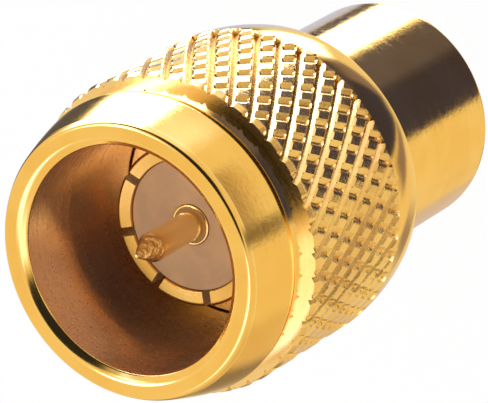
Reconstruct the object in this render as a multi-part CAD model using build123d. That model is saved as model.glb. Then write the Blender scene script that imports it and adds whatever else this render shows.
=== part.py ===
from build123d import *
import os
from math import cos, pi, radians, sin, tan

# Push-on coaxial terminator, standing on its flat rear end with the mating axis up.
# Z = 0 is the rear face and the mouth is at the top. All sizes are in millimetres.

# Overall and fits
overall_length = 15.65
running_clearance = 0.08
seat_clearance = 0.01
sleeve_end_play = 0.10

# Coupling sleeve: lengths along the axis, then radially from the gap round the outer contact,
# which takes the mating jack's barrel, outwards
sleeve_length = 9.15
collar_length = 1.70
neck_length = 0.85
shoulder_length = 1.70
mouth_gap = 1.00
mouth_chamfer_width = 0.25
mouth_chamfer_depth = 0.19
sleeve_wall = 1.24
neck_depth_below_root = 0.10
collar_overhang = 0.04
collar_flare = 0.37
face_bevel_width = 0.11
face_bevel_depth = 0.21
shoulder_taper = 0.35
shoulder_bulge = 0.06
shoulder_edge_chamfer = 0.10

# Diamond knurl on the sleeve
knurl_starts = 41
knurl_helix_angle = 30.5
knurl_depth = 0.25
knurl_land_relief = 0.02
knurl_land_share = 0.50
knurl_front_drop = 0.07
knurl_front_run = 0.22
knurl_phase = 3.97

# Front body: the hub that the sleeve turns on, and its spigot in the rear housing
floor_depth = 5.77
spigot_length = 1.00

# Slotted outer contact, from its bore outwards
contact_face_depth = 3.50
contact_inner_radius = 2.085
contact_wall = 0.465
contact_face_chamfer = 0.10
contact_seat_step = 0.17
contact_seat_length = 1.95
contact_slots = 8
contact_slot_width = 0.28
contact_slot_length = 2.05
contact_slot_phase = 24.8

# Dielectric bead
bead_recess = 0.15
bead_flange_width = 0.26
bead_flange_length = 0.80

# Centre pin
pin_radius = 0.457
pin_shoulder_width = 0.178
pin_shoulder_proud = 0.05
pin_tip_depth = 0.60
pin_cone_length = 0.84
pin_cone_flat_radius = 0.05
pin_rear_overhang = 0.80
pin_socket_depth = 0.65
pin_socket_wall = 0.145

# Split snap ring that sits half in the hub and half in the sleeve
ring_thickness = 0.60
ring_depth_in_hub = 0.42
ring_depth_in_sleeve = 0.30
ring_height_above_rim = 1.30
ring_gap_width = 1.20

# Rear housing
housing_step = 0.08
housing_wall = 0.45
housing_end_wall = 1.20
housing_edge_chamfer = 0.16

# Rod resistor
cap_wall = 0.08
cap_length = 0.60

# Heights that follow from the sizes above
collar_back_z = overall_length - collar_length
knurl_front_z = collar_back_z - neck_length
sleeve_back_z = overall_length - sleeve_length
knurl_back_z = sleeve_back_z + shoulder_length
housing_rim_z = sleeve_back_z - sleeve_end_play
spigot_end_z = housing_rim_z - spigot_length
floor_z = overall_length - floor_depth
contact_face_z = overall_length - contact_face_depth
contact_seat_z = floor_z - contact_seat_length
bead_front_z = contact_face_z - bead_recess
bead_back_z = contact_seat_z - bead_flange_length
ring_low_z = housing_rim_z + ring_height_above_rim
ring_high_z = ring_low_z + ring_thickness
pin_tip_z = overall_length - pin_tip_depth
pin_back_z = bead_back_z - pin_rear_overhang

# Radii that follow from the sizes above
contact_wall_radius = contact_inner_radius + contact_wall
contact_seat_radius = contact_wall_radius + contact_seat_step
bead_flange_radius = contact_inner_radius + bead_flange_width
mouth_bore_radius = contact_wall_radius + mouth_gap
knurl_root_radius = mouth_bore_radius + sleeve_wall
knurl_crest_radius = knurl_root_radius + knurl_depth
knurl_land_radius = knurl_crest_radius - knurl_land_relief
neck_radius = knurl_root_radius - neck_depth_below_root
collar_back_radius = neck_radius + collar_overhang
face_bevel_radius = collar_back_radius - collar_flare
shoulder_back_radius = knurl_crest_radius - shoulder_taper
hub_radius = mouth_bore_radius - running_clearance
ring_inner_radius = hub_radius - ring_depth_in_hub
ring_outer_radius = mouth_bore_radius + ring_depth_in_sleeve
pin_shoulder_radius = pin_radius + pin_shoulder_width
housing_radius = mouth_bore_radius + housing_step
housing_bore_radius = housing_radius - housing_wall
cap_socket_radius = pin_shoulder_radius - pin_socket_wall
cap_radius = cap_socket_radius - seat_clearance
rod_radius = cap_radius - cap_wall


def turned(outline):
    """Solid turned about Z from a closed outline drawn as radius and height."""
    return revolve(make_face(Plane.XZ * outline), Axis.Z)


def tube(inner_radius, outer_radius, low_z, high_z):
    """Plain ring between two heights."""
    return turned(Polyline(
        (inner_radius, low_z), (outer_radius, low_z), (outer_radius, high_z), (inner_radius, high_z), close=True))


def polar(radius, angle, height):
    """Point at a radius, an angle in degrees and a height."""
    return Vector(radius * cos(radians(angle)), radius * sin(radians(angle)), height)


def polygon(*points):
    """Flat face through the given corners."""
    return Face(Wire.make_polygon(points, close=True))


def shoulder_dome():
    """Gently domed rear shoulder, from the knurl's end down to the edge chamfer."""
    start = Vector(knurl_crest_radius, knurl_back_z)
    end = Vector(shoulder_back_radius, sleeve_back_z + shoulder_edge_chamfer)
    return ThreePointArc(start, (start + end) * 0.5 + Vector(shoulder_bulge, 0), end)


def sleeve_blank():
    """The sleeve as turned, before knurling, with its bore and ring groove."""
    walls = Polyline(
        (shoulder_back_radius, sleeve_back_z + shoulder_edge_chamfer),
        (shoulder_back_radius - shoulder_edge_chamfer, sleeve_back_z),
        (mouth_bore_radius, sleeve_back_z),
        (mouth_bore_radius, overall_length - mouth_chamfer_depth),
        (mouth_bore_radius + mouth_chamfer_width, overall_length),
        (face_bevel_radius - face_bevel_width, overall_length),
        (face_bevel_radius, overall_length - face_bevel_depth),
        (collar_back_radius, collar_back_z + collar_overhang),
        (neck_radius, collar_back_z),
        (neck_radius, knurl_front_z),
        (knurl_crest_radius - knurl_front_drop, knurl_front_z),
        (knurl_crest_radius, knurl_front_z - knurl_front_run),
        (knurl_crest_radius, knurl_back_z),
    )
    blank = turned(walls + shoulder_dome())
    groove = tube(
        hub_radius, ring_outer_radius + running_clearance,
        ring_low_z - running_clearance, ring_high_z + running_clearance)
    return blank - groove


def knurl_rows():
    """Number of half-pitch rows of diamonds, and the height of a row."""
    nominal_row = pi * knurl_crest_radius / knurl_starts / tan(radians(knurl_helix_angle))
    covered = knurl_front_z + neck_length / 2 - knurl_back_z
    count = max(2, round(covered / nominal_row))
    return count, covered / count


def diamond(row, column, row_height):
    """Groove crossings round one diamond, and the corners of its flat land."""
    step = 360 / knurl_starts
    angle = knurl_phase + (column + (row % 2) / 2) * step
    height = knurl_back_z + row * row_height
    root = {
        "left": polar(knurl_root_radius, angle - step / 2, height),
        "right": polar(knurl_root_radius, angle + step / 2, height),
        "down": polar(knurl_root_radius, angle, height - row_height),
        "up": polar(knurl_root_radius, angle, height + row_height),
    }
    # Each flank is one plane, and all four would meet in an apex above the land.
    apex_radius = knurl_root_radius + (knurl_land_radius - knurl_root_radius) / (1 - knurl_land_share)
    side_reach = knurl_root_radius * cos(radians(step / 2))
    side_width = knurl_root_radius * sin(radians(step / 2))
    land_side = side_width * (apex_radius - knurl_land_radius) / (apex_radius - side_reach)
    centre = polar(knurl_land_radius, angle, height)
    across = polar(land_side, angle + 90, 0)
    rise = Vector(0, 0, row_height * knurl_land_share)
    land = {"left": centre - across, "right": centre + across, "down": centre - rise, "up": centre + rise}
    return root, land


def diamond_faces(root, land, halves):
    """Land and flanks of one diamond, for the lower half, the upper half or both."""
    corners = [land["left"]]
    if "down" in halves:
        corners.append(land["down"])
    corners.append(land["right"])
    if "up" in halves:
        corners.append(land["up"])
    faces = [polygon(*corners)]
    for half in halves:
        for side in ("left", "right"):
            faces.append(polygon(land[side], land[half], root[half], root[side]))
    return faces


def knurl_cutter():
    """Everything outside the knurled surface, from the shoulder to the middle of the neck."""
    count, row_height = knurl_rows()
    faces = []
    rims = {0: [], count: []}
    for row in range(count + 1):
        halves = [half for half, present in (("down", row > 0), ("up", row < count)) if present]
        for column in range(knurl_starts):
            root, land = diamond(row, column, row_height)
            faces += diamond_faces(root, land, halves)
            if row in rims:
                rims[row] += [root["left"], land["left"], land["right"]]
    # A plain four-sided box closes the cutter well outside the sleeve.
    box_reach = 2 * knurl_crest_radius
    low_corners = [polar(box_reach, 45 + 90 * side, knurl_back_z) for side in range(4)]
    lift = Vector(0, 0, count * row_height)
    for side in range(4):
        first, second = low_corners[side], low_corners[(side + 1) % 4]
        faces.append(polygon(first, second, second + lift, first + lift))
    for corners, rim in ((low_corners, rims[0]), ([corner + lift for corner in low_corners], rims[count])):
        faces.append(Face(Wire.make_polygon(corners, close=True), [Wire.make_polygon(rim, close=True)]))
    return Solid(Shell(faces))


def coupling_sleeve():
    """Knurled sleeve that turns on the hub."""
    return sleeve_blank() - knurl_cutter()


def retaining_ring():
    """Snap ring with a gap, so that it can close while the sleeve goes on."""
    ring = tube(ring_inner_radius, ring_outer_radius, ring_low_z, ring_high_z)
    gap = Pos(-ring_outer_radius, 0, (ring_low_z + ring_high_z) / 2) * Box(
        ring_outer_radius, ring_gap_width, 2 * ring_thickness)
    return ring - gap


def front_body():
    """Hub with a stepped bore; its front face is the floor of the mouth."""
    groove_floor_radius = ring_inner_radius - seat_clearance
    spigot_radius = housing_bore_radius - seat_clearance
    return turned(Polyline(
        (contact_inner_radius, spigot_end_z),
        (spigot_radius, spigot_end_z),
        (spigot_radius, housing_rim_z),
        (hub_radius, housing_rim_z),
        (hub_radius, ring_low_z),
        (groove_floor_radius, ring_low_z),
        (groove_floor_radius, ring_high_z),
        (hub_radius, ring_high_z),
        (hub_radius, floor_z),
        (contact_seat_radius + seat_clearance, floor_z),
        (contact_seat_radius + seat_clearance, contact_seat_z),
        (bead_flange_radius + seat_clearance, contact_seat_z),
        (bead_flange_radius + seat_clearance, bead_back_z),
        (contact_inner_radius, bead_back_z),
        close=True,
    ))


def outer_contact():
    """Spring collet: a seat in the hub, then a slotted wall that stands in the mouth."""
    collet = turned(Polyline(
        (contact_inner_radius, contact_seat_z),
        (contact_seat_radius, contact_seat_z),
        (contact_seat_radius, floor_z),
        (contact_wall_radius, floor_z),
        (contact_wall_radius, contact_face_z - contact_face_chamfer),
        (contact_wall_radius - contact_face_chamfer, contact_face_z),
        (contact_inner_radius, contact_face_z),
        close=True,
    ))
    slot_reach = 2 * contact_wall_radius
    slot = Pos(slot_reach / 2, 0, contact_face_z) * Box(slot_reach, contact_slot_width, 2 * contact_slot_length)
    for index in range(contact_slots):
        collet -= Rot(0, 0, contact_slot_phase + 360 * index / contact_slots) * slot
    return collet


def dielectric_bead():
    """Insulating bead, held by its flange between the hub's ledge and the collet."""
    bore_radius = pin_shoulder_radius + seat_clearance
    front_radius = contact_inner_radius - seat_clearance
    return turned(Polyline(
        (bore_radius, bead_back_z),
        (bead_flange_radius, bead_back_z),
        (bead_flange_radius, contact_seat_z),
        (front_radius, contact_seat_z),
        (front_radius, bead_front_z),
        (bore_radius, bead_front_z),
        close=True,
    ))


def centre_pin():
    """Pin with a conical tip, a shoulder through the bead and a rear socket for the resistor."""
    socket_floor_z = pin_back_z + pin_socket_depth
    shoulder_z = bead_front_z + pin_shoulder_proud
    return turned(Polyline(
        (0, socket_floor_z),
        (cap_socket_radius, socket_floor_z),
        (cap_socket_radius, pin_back_z),
        (pin_shoulder_radius, pin_back_z),
        (pin_shoulder_radius, shoulder_z),
        (pin_radius, shoulder_z),
        (pin_radius, pin_tip_z - pin_cone_length),
        (pin_cone_flat_radius, pin_tip_z),
        (0, pin_tip_z),
        close=True,
    ))


def rear_housing():
    """Smooth cup that is pressed onto the hub's spigot and closes the rear."""
    return turned(Polyline(
        (0, 0),
        (housing_radius - housing_edge_chamfer, 0),
        (housing_radius, housing_edge_chamfer),
        (housing_radius, housing_rim_z),
        (housing_bore_radius, housing_rim_z),
        (housing_bore_radius, housing_end_wall),
        (0, housing_end_wall),
        close=True,
    ))


def taper_insert():
    """Ground insert whose bore narrows from the air line to the resistor's rear cap."""
    outer_radius = housing_bore_radius - seat_clearance
    return turned(Polyline(
        (cap_socket_radius, housing_end_wall),
        (outer_radius, housing_end_wall),
        (outer_radius, spigot_end_z),
        (contact_inner_radius, spigot_end_z),
        (cap_socket_radius, housing_end_wall + cap_length),
        close=True,
    ))


def resistor_rod(low_z, high_z):
    """Ceramic rod between the two cap floors."""
    length = high_z - low_z - 2 * cap_wall
    return Pos(0, 0, (low_z + high_z) / 2) * Cylinder(rod_radius, length)


def resistor_cap(end_z, inward):
    """Metal cap over one end of the rod; inward is 1 or -1 along the axis."""
    inner_radius = rod_radius + seat_clearance
    floor_height = end_z + inward * cap_wall
    rim_height = end_z + inward * cap_length
    return turned(Polyline(
        (0, end_z),
        (cap_radius, end_z),
        (cap_radius, rim_height),
        (inner_radius, rim_height),
        (inner_radius, floor_height),
        (0, floor_height),
        close=True,
    ))


def all_pieces():
    """Every piece by its node name."""
    resistor_low_z = housing_end_wall
    resistor_high_z = pin_back_z + pin_socket_depth
    return {
        "coupling_sleeve": coupling_sleeve(),
        "retaining_ring": retaining_ring(),
        "front_body": front_body(),
        "outer_contact": outer_contact(),
        "dielectric_bead": dielectric_bead(),
        "centre_pin": centre_pin(),
        "rear_housing": rear_housing(),
        "taper_insert": taper_insert(),
        "resistor_rod": resistor_rod(resistor_low_z, resistor_high_z),
        "resistor_front_cap": resistor_cap(resistor_high_z, -1),
        "resistor_rear_cap": resistor_cap(resistor_low_z, 1),
    }


os.makedirs("parts", exist_ok=True)
for node_name, piece in all_pieces().items():
    export_step(piece, f"parts/{node_name}.step")
    print(f"{node_name}: {piece.volume:.3f} mm3")
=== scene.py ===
"""A gold-plated push-on coaxial terminator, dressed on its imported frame.

Every piece is turned about the Z axis, with the rear face at Z = 0 and the mouth at the top.
Sizes in the classes are in millimetres. Meshes are in metres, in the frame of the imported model.
"""

import logging
import math
from dataclasses import asdict, dataclass, field
from enum import Enum
from typing import ClassVar, Optional, Union

import bmesh
import bpy
from mathutils import Matrix, Vector


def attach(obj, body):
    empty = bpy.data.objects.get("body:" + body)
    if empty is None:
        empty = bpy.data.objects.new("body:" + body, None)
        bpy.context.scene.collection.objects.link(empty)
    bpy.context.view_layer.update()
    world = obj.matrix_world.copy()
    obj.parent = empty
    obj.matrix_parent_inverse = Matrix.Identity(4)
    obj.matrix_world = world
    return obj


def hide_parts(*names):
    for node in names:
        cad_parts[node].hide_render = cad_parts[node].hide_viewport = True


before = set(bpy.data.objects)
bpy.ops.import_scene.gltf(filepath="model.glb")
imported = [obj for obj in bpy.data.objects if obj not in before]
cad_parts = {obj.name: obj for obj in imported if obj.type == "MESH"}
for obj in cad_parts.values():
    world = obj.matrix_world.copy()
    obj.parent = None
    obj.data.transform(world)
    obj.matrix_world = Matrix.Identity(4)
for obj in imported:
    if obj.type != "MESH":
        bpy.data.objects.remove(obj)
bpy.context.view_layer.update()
log = logging.getLogger("terminator")

MM = 0.001
MM_PER_METRE = 1000.0
MICRON = 1e-6
SHARP_ANGLE = math.radians(28)
PHOTO_WIDTH = 488

Colour = tuple[float, float, float]
Edge = tuple[float, float, float]
Value = Union[float, int, tuple, bpy.types.NodeSocket]


class Body(Enum):
    """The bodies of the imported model."""

    TERMINATOR = "terminator_body"
    SLEEVE = "sleeve"


class Slot(Enum):
    """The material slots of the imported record."""

    SLEEVE = "sleeve_gold"
    BODY = "body_gold"
    CONTACT = "contact_gold"
    PIN = "pin_gold"
    HOUSING = "housing_gold"
    BEAD = "bead_white"


# ---- Outlines and turned meshes


@dataclass(frozen=True)
class Corner:
    """A corner of a turned outline: its distance from the axis, its height and its rounding."""

    radius: float
    height: float
    rounding: float = 0.0


@dataclass(frozen=True)
class Outline:
    """A turned outline whose corners may be rounded.

    A rounding takes up to a share (reach) of the shorter side, and its arc has a point every few
    degrees (step). One more point on each flat, a share (hold) further on, keeps its shading flat.
    """

    corners: tuple[Corner, ...]
    reach: float = 0.42
    step: float = 15.0
    hold: float = 0.4

    @classmethod
    def through(cls, *corners: tuple[float, ...]) -> "Outline":
        """Makes an outline from tuples of radius, height and, where there is one, rounding."""
        return cls(tuple(Corner(*corner) for corner in corners))

    def _rounding(self, before: Corner, corner: Corner, after: Corner) -> list[tuple[float, float]]:
        """Finds the points that take the place of one rounded corner.

        Args:
            before: The corner before it.
            corner: The corner to round.
            after: The corner after it.

        Returns:
            Points of the arc, with a point on each flat that keeps the flat's shading flat.
        """
        here = Vector((corner.radius, corner.height))
        to_before = Vector((before.radius, before.height)) - here
        to_after = Vector((after.radius, after.height)) - here
        room = self.reach * min(to_before.length, to_after.length)
        first, last = to_before.normalized(), to_after.normalized()
        half = first.angle(last) / 2
        tangent = min(corner.rounding / math.tan(half), room)
        rounding = tangent * math.tan(half)
        centre = here + (first + last).normalized() * (rounding / math.sin(half))
        start, end = here + first * tangent - centre, here + last * tangent - centre
        sweep = start.angle_signed(end)
        count = max(2, round(abs(math.degrees(sweep)) / self.step))
        arc = [centre + Matrix.Rotation(-sweep * i / count, 2) @ start for i in range(count + 1)]
        hold = tangent * (1 + self.hold)
        points = [here + first * hold, *arc, here + last * hold]
        return [(point.x, point.y) for point in points]

    def points(self) -> list[tuple[float, float]]:
        """Lists the outline's points in order.

        Returns:
            Pairs of radius and height, in millimetres.
        """
        found = []
        total = len(self.corners)
        for index, corner in enumerate(self.corners):
            if corner.rounding <= 0:
                found.append((corner.radius, corner.height))
                continue
            before, after = self.corners[index - 1], self.corners[(index + 1) % total]
            found += self._rounding(before, corner, after)
        return found


def domed(start: tuple[float, float], end: tuple[float, float], bulge: float,
          steps: int) -> list[tuple[float, float]]:
    """Lists the points between the two ends of a slightly domed line.

    Args:
        start: Radius and height of its first end.
        end: Radius and height of its last end.
        bulge: How far its middle stands out.
        steps: Number of steps from end to end.

    Returns:
        The points between the ends, as pairs of radius and height.
    """
    points = []
    for step in range(1, steps):
        share = step / steps
        radius = start[0] + (end[0] - start[0]) * share + bulge * 4 * share * (1 - share)
        points.append((radius, start[1] + (end[1] - start[1]) * share))
    return points


def spun(radius: float, angle: float, height: float) -> tuple[float, float, float]:
    """Places a point of a turned piece.

    Args:
        radius: Distance from the axis in millimetres.
        angle: Turn about the axis in radians.
        height: Height in millimetres.

    Returns:
        The point in metres.
    """
    return radius * math.cos(angle) * MM, radius * math.sin(angle) * MM, height * MM


def mesh_from(name: str, points: list, faces: list) -> bpy.types.Mesh:
    """Makes a mesh with outward normals, smooth but for its sharp corners.

    Args:
        name: Name of the mesh.
        points: Its points in metres.
        faces: Its faces as lists of point numbers.

    Returns:
        The mesh.
    """
    mesh = bpy.data.meshes.new(name)
    mesh.from_pydata(points, [], faces)
    work = bmesh.new()
    work.from_mesh(mesh)
    bmesh.ops.recalc_face_normals(work, faces=work.faces)
    work.to_mesh(mesh)
    work.free()
    mesh.shade_smooth()
    mesh.set_sharp_from_angle(angle=SHARP_ANGLE)
    return mesh


def turned_mesh(name: str, outline: Outline, columns: int) -> bpy.types.Mesh:
    """Turns an outline about the axis.

    Args:
        name: Name of the mesh.
        outline: The outline to turn.
        columns: Number of steps round the axis.

    Returns:
        A closed mesh.
    """
    points, faces, rings = [], [], []
    for radius, height in outline.points():
        around = 1 if radius < 1e-6 else columns
        rings.append(range(len(points), len(points) + around))
        points += [spun(radius, math.tau * j / columns, height) for j in range(around)]
    for lower, upper in zip(rings, [*rings[1:], rings[0]]):
        if len(lower) == len(upper) == 1:
            continue
        for j in range(columns):
            k = (j + 1) % columns
            low = (lower[j % len(lower)], lower[k % len(lower)])
            high = (upper[k % len(upper)], upper[j % len(upper)])
            faces.append(list(dict.fromkeys([*low, *high])))
    return mesh_from(name, points, faces)


def placed(mesh: bpy.types.Mesh) -> bpy.types.Object:
    """Puts a mesh into the scene, at the origin.

    Args:
        mesh: The mesh.

    Returns:
        An object of the same name.
    """
    thing = bpy.data.objects.new(mesh.name, mesh)
    bpy.context.scene.collection.objects.link(thing)
    return thing


# ---- Node trees


class Graph:
    """A node tree, with short ways to add nodes and to join them."""

    def __init__(self, tree: bpy.types.NodeTree) -> None:
        """Starts on an empty tree."""
        self.tree = tree
        tree.nodes.clear()

    def feed(self, socket: bpy.types.NodeSocket, value: Value) -> None:
        """Gives a socket a value or links it.

        Args:
            socket: The input socket.
            value: A plain value, or an output socket to link from.
        """
        if isinstance(value, bpy.types.NodeSocket):
            self.tree.links.new(value, socket)
        elif socket.type == "RGBA":
            socket.default_value = (*value, 1.0)[:4]
        else:
            socket.default_value = value

    def add(self, kind: str, inputs: Optional[dict] = None, **settings: object) -> bpy.types.Node:
        """Adds a node.

        Args:
            kind: Blender's name for the node type.
            inputs: Values or links for its input sockets, by their name or number.
            **settings: Properties of the node.

        Returns:
            The node.
        """
        node = self.tree.nodes.new(kind)
        for name, value in settings.items():
            setattr(node, name, value)
        for name, value in (inputs or {}).items():
            self.feed(node.inputs[name], value)
        return node

    def calc(self, operation: str, *values: Value, clamp: bool = False) -> bpy.types.NodeSocket:
        """Adds a maths node.

        Args:
            operation: The node's operation.
            *values: Its inputs in order.
            clamp: Whether the result is kept between 0 and 1.

        Returns:
            The result.
        """
        inputs = dict(enumerate(values))
        return self.add("ShaderNodeMath", inputs, operation=operation, use_clamp=clamp).outputs[0]

    def plus(self, first: Value, second: Value) -> bpy.types.NodeSocket:
        """Adds two values."""
        return self.calc("ADD", first, second)

    def minus(self, first: Value, second: Value) -> bpy.types.NodeSocket:
        """Takes the second value from the first."""
        return self.calc("SUBTRACT", first, second)

    def times(self, first: Value, second: Value) -> bpy.types.NodeSocket:
        """Multiplies two values."""
        return self.calc("MULTIPLY", first, second)

    def over(self, first: Value, second: Value) -> bpy.types.NodeSocket:
        """Divides the first value by the second."""
        return self.calc("DIVIDE", first, second)

    def away(self, across: Value, along: Value) -> bpy.types.NodeSocket:
        """Gives the distance that two steps at right angles make."""
        return self.calc("SQRT", self.plus(self.times(across, across), self.times(along, along)))

    def vector(self, operation: str, first: Value, second: Value = (0.0, 0.0, 0.0)) -> bpy.types.NodeSocket:
        """Adds a vector maths node.

        Args:
            operation: The node's operation.
            first: Its first vector.
            second: Its second vector, or its scale where the operation is SCALE.

        Returns:
            The result.
        """
        inputs = {0: first, "Scale" if operation == "SCALE" else 1: second}
        node = self.add("ShaderNodeVectorMath", inputs, operation=operation)
        return node.outputs["Value" if operation == "LENGTH" else "Vector"]

    def parts(self, vector: Value) -> tuple[bpy.types.NodeSocket, ...]:
        """Splits a vector into its X, Y and Z."""
        return tuple(self.add("ShaderNodeSeparateXYZ", {0: vector}).outputs)

    def joined(self, *values: Value) -> bpy.types.NodeSocket:
        """Makes a vector of up to three values."""
        return self.add("ShaderNodeCombineXYZ", dict(enumerate(values))).outputs[0]

    def ramp(self, value: Value, start: Value, end: Value, smooth: bool = True) -> bpy.types.NodeSocket:
        """Turns a value into a mask that rises from 0 to 1.

        Args:
            value: The value.
            start: Where the mask starts to rise.
            end: Where it reaches 1.
            smooth: Whether it eases in and out.

        Returns:
            The mask.
        """
        inputs = {"Value": value, "From Min": start, "From Max": end}
        kind = "SMOOTHSTEP" if smooth else "LINEAR"
        return self.add("ShaderNodeMapRange", inputs, interpolation_type=kind).outputs["Result"]

    def mix(self, share: Value, first: Value, second: Value) -> bpy.types.NodeSocket:
        """Mixes two colours.

        Args:
            share: Share of the second colour.
            first: The first colour.
            second: The second colour.

        Returns:
            The mixed colour.
        """
        return self.add("ShaderNodeMix", {0: share, 6: first, 7: second}, data_type="RGBA").outputs[2]

    def noise(self, where: Value, scale: Value, detail: float) -> bpy.types.NodeSocket:
        """Adds a noise texture.

        Args:
            where: The coordinates that it reads.
            scale: Its scale.
            detail: Its number of finer layers.

        Returns:
            The noise, about 0.5 on average.
        """
        inputs = {"Vector": where, "Scale": scale, "Detail": detail}
        return self.add("ShaderNodeTexNoise", inputs).outputs[0]

    def group(self, tree: bpy.types.NodeTree, **values: Value) -> bpy.types.Node:
        """Places a shader node group.

        Args:
            tree: The group.
            **values: Values or links for its inputs, with underscores for spaces.

        Returns:
            The group's node.
        """
        inputs = {name.replace("_", " "): value for name, value in values.items()}
        return self.add("ShaderNodeGroup", inputs, node_tree=tree)


@dataclass(frozen=True)
class Port:
    """A named socket of a node group."""

    name: str
    kind: str = "NodeSocketFloat"
    value: object = None


def group_tree(name: str, kind: str, inputs: list[Port],
               outputs: list[Port]) -> tuple[Graph, dict, bpy.types.Node]:
    """Starts a node group.

    Args:
        name: Name of the group.
        kind: Type of the tree.
        inputs: Its input sockets.
        outputs: Its output sockets.

    Returns:
        The graph, the input sockets by name and the output node.
    """
    tree = bpy.data.node_groups.new(name, kind)
    graph = Graph(tree)
    for ports, way in ((inputs, "INPUT"), (outputs, "OUTPUT")):
        for port in ports:
            socket = tree.interface.new_socket(port.name, in_out=way, socket_type=port.kind)
            if port.value is not None:
                socket.default_value = port.value
    source, sink = graph.add("NodeGroupInput"), graph.add("NodeGroupOutput")
    return graph, {port.name: source.outputs[port.name] for port in inputs}, sink


def polar_place(graph: Graph) -> tuple[bpy.types.NodeSocket, bpy.types.NodeSocket, bpy.types.NodeSocket]:
    """Reads where a point of a material lies on the turned piece.

    Args:
        graph: The graph of the material or group.

    Returns:
        Distance from the axis in millimetres, turn in radians and height in millimetres.
    """
    across, along, height = graph.parts(graph.add("ShaderNodeTexCoord").outputs["Object"])
    radius = graph.times(graph.away(across, along), MM_PER_METRE)
    return radius, graph.calc("ARCTAN2", along, across), graph.times(height, MM_PER_METRE)


def relief(graph: Graph, noise: Value, microns: Value) -> bpy.types.NodeSocket:
    """Turns a noise into a relief.

    Args:
        graph: The graph of the group.
        noise: The noise.
        microns: Its depth in microns.

    Returns:
        The relief's height in metres, about 0 on average.
    """
    return graph.times(graph.minus(noise, 0.5), graph.times(microns, MICRON))


# ---- Effects that several finishes share


def turning_lines() -> bpy.types.NodeTree:
    """Builds the fine rings that a lathe tool leaves.

    Returns:
        A group that gives their height in metres and a mask of their tone.
    """
    graph, given, sink = group_tree(
        "Turning lines", "ShaderNodeTree",
        [Port("Lines per mm", value=12.0), Port("Depth um", value=0.5)],
        [Port("Height"), Port("Tone")])
    radius, turn, height = polar_place(graph)
    across, along = (graph.times(size, given["Lines per mm"]) for size in (radius, height))
    # The rings change a little on their way round, the same on both sides of the seam.
    drift = graph.times(graph.calc("ABSOLUTE", turn), 0.8)
    tone = graph.noise(graph.joined(across, along, drift), 1.0, 3.0)
    graph.feed(sink.inputs["Height"], relief(graph, tone, given["Depth um"]))
    graph.feed(sink.inputs["Tone"], tone)
    return graph.tree


def plating_grain() -> bpy.types.NodeTree:
    """Builds the fine bumps and slow unevenness of plated metal.

    Returns:
        A group that gives their height in metres, a fine mask and a mask of broad patches.
    """
    graph, given, sink = group_tree(
        "Plating grain", "ShaderNodeTree",
        [Port("Grains per mm", value=14.0), Port("Depth um", value=0.5), Port("Patches per mm", value=0.5)],
        [Port("Height"), Port("Fine"), Port("Patches")])
    place = graph.vector("SCALE", graph.add("ShaderNodeTexCoord").outputs["Object"], MM_PER_METRE)
    fine = graph.noise(place, given["Grains per mm"], 2.5)
    broad = graph.noise(place, given["Patches per mm"], 3.0)
    graph.feed(sink.inputs["Height"], relief(graph, fine, given["Depth um"]))
    graph.feed(sink.inputs["Fine"], fine)
    graph.feed(sink.inputs["Patches"], graph.ramp(broad, 0.35, 0.65))
    return graph.tree


def edge_polish_and_highlight() -> bpy.types.NodeTree:
    """Builds a mask of one turned edge, where the finish is made smoother and a highlight is painted into its
    colour.

    Returns:
        A group that gives the mask.
    """
    graph, given, sink = group_tree(
        "Handled edge", "ShaderNodeTree",
        [Port("Radius", value=5.0), Port("Height", value=10.0), Port("Width", value=0.1)],
        [Port("Mask")])
    radius, _, height = polar_place(graph)
    across, along = graph.minus(radius, given["Radius"]), graph.minus(height, given["Height"])
    far = graph.ramp(graph.away(across, along), 0.0, given["Width"])
    graph.feed(sink.inputs["Mask"], graph.minus(1.0, far))
    return graph.tree


def groove_shade_mask() -> bpy.types.NodeTree:
    """Builds a mask of the depths of a cut, where shade is painted into the colour.

    Returns:
        A group that gives the mask.
    """
    graph, given, sink = group_tree(
        "Groove soil", "ShaderNodeTree",
        [Port("Floor radius", value=4.8), Port("Clear radius", value=5.0)],
        [Port("Mask")])
    radius, _, _ = polar_place(graph)
    clear = graph.ramp(radius, given["Floor radius"], given["Clear radius"])
    graph.feed(sink.inputs["Mask"], graph.minus(1.0, clear))
    return graph.tree


@dataclass
class Effects:
    """The shared effect groups, built once."""

    lines: bpy.types.NodeTree = field(default_factory=turning_lines)
    grain: bpy.types.NodeTree = field(default_factory=plating_grain)
    edge: bpy.types.NodeTree = field(default_factory=edge_polish_and_highlight)
    soil: bpy.types.NodeTree = field(default_factory=groove_shade_mask)


# ---- Finishes


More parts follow.
